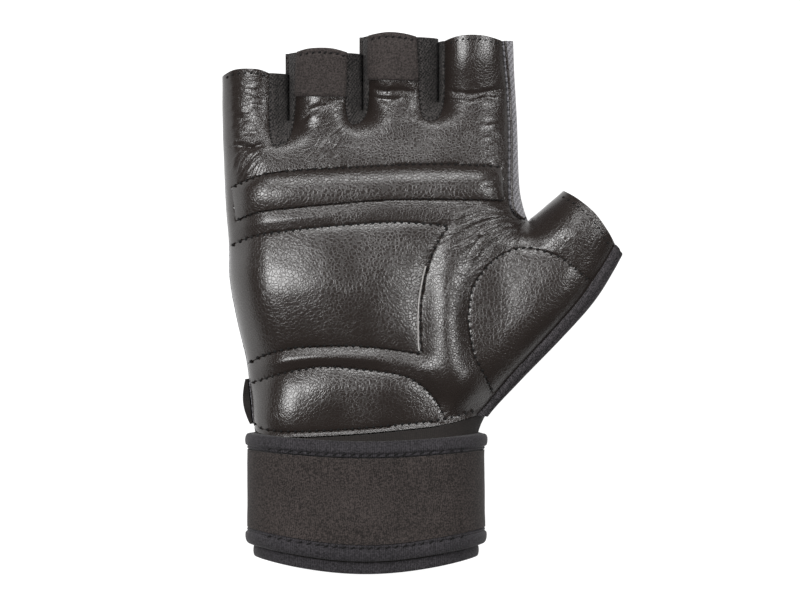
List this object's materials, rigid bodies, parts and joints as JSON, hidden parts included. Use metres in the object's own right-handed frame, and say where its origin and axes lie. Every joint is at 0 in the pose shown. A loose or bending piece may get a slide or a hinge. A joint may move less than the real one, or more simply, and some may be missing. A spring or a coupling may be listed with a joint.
{
  "type": "weightlifting glove",
  "caption": "Half-finger padded leather lifting glove for the right hand, lying palm up, with a knit back, finger gussets, pull tabs and a wrist wrap.",
  "frame": {"origin": "centre of the bounding box in plan, on the surface that the back of the glove lies on", "axes": "+Y from the cuff to the fingertips, +X towards the thumb, +Z out of the palm, which faces up"},
  "size_m": [0.1374, 0.185, 0.0384],
  "materials": {
    "leather": "pebbled, semi-gloss",
    "padded_leather": "pebbled, semi-gloss",
    "back_knit": "ribbed knit, matte",
    "gusset_knit": "fine knit, matte",
    "webbing": "woven webbing, matte",
    "binding": "ribbed tape, slight sheen",
    "cuff_knit": "smooth jersey, matte",
    "wrap_weave": "elastic weave, matte",
    "hook_tab": "matte"
  },
  "bodies": {
    "root": {"palm_panel": "leather", "back_panel": "back_knit", "gusset_little_ring": "gusset_knit", "gusset_ring_middle": "gusset_knit", "gusset_middle_index": "gusset_knit", "upper_palm_pad": "padded_leather", "grip_band": "padded_leather", "centre_palm_pad": "padded_leather", "palm_ridge": "padded_leather", "heel_pad": "padded_leather", "thumb_crease_pad": "padded_leather", "thenar_pad": "padded_leather", "pull_tab_ring": "webbing", "pull_tab_middle": "webbing", "thumb_binding": "binding", "cuff_sleeve": "cuff_knit", "cuff_binding": "binding", "wrist_wrap": "wrap_weave", "wrap_top_binding": "binding", "wrap_bottom_binding": "binding", "wrap_closure": "hook_tab", "vent_roll": "cuff_knit"}
  },
  "joints": []
}
